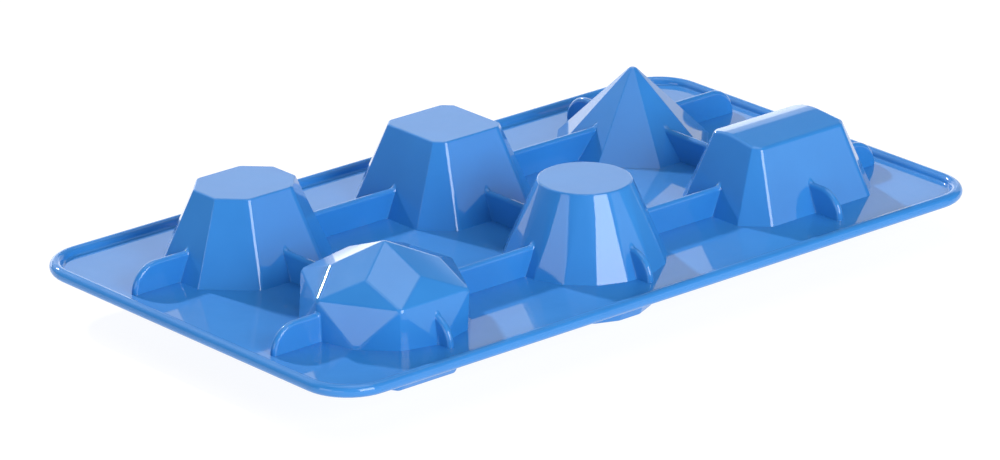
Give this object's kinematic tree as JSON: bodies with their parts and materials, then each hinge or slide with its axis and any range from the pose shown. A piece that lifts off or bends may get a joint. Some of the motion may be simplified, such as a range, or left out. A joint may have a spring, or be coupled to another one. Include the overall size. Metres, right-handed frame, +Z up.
{
  "type": "silicone soap mould",
  "caption": "Flexible blue moulding tray with gem-shaped cups in two rows, open collars below, ribs between the cups and a round bead along the edge.",
  "frame": {"origin": "centre of the tray, on the surface that the collar rims stand on", "axes": "+X along the tray's length, +Y towards the row with the pyramid cup, +Z up, towards the closed ends of the cups"},
  "size_m": [0.2128, 0.12, 0.032],
  "materials": {
    "silicone": "glossy blue platinum silicone, smooth from a polished mould"
  },
  "bodies": {
    "root": {"base_sheet": "silicone", "perimeter_bead": "silicone", "octagon_cup": "silicone", "square_cup": "silicone", "pyramid_cup": "silicone", "rose_cup": "silicone", "fluted_cup": "silicone", "emerald_cup": "silicone", "octagon_collar": "silicone", "square_collar": "silicone", "pyramid_collar": "silicone", "rose_collar": "silicone", "fluted_collar": "silicone", "emerald_collar": "silicone", "rib_octagon_square": "silicone", "rib_square_pyramid": "silicone", "rib_rose_fluted": "silicone", "rib_fluted_emerald": "silicone", "rib_octagon_rose": "silicone", "rib_square_fluted": "silicone", "rib_pyramid_emerald": "silicone", "end_rib_octagon": "silicone", "end_rib_rose": "silicone", "end_rib_pyramid": "silicone", "end_rib_emerald": "silicone", "edge_rib_octagon": "silicone", "edge_rib_square": "silicone", "edge_rib_pyramid": "silicone", "edge_rib_rose": "silicone", "edge_rib_fluted": "silicone", "edge_rib_emerald": "silicone"}
  },
  "joints": []
}
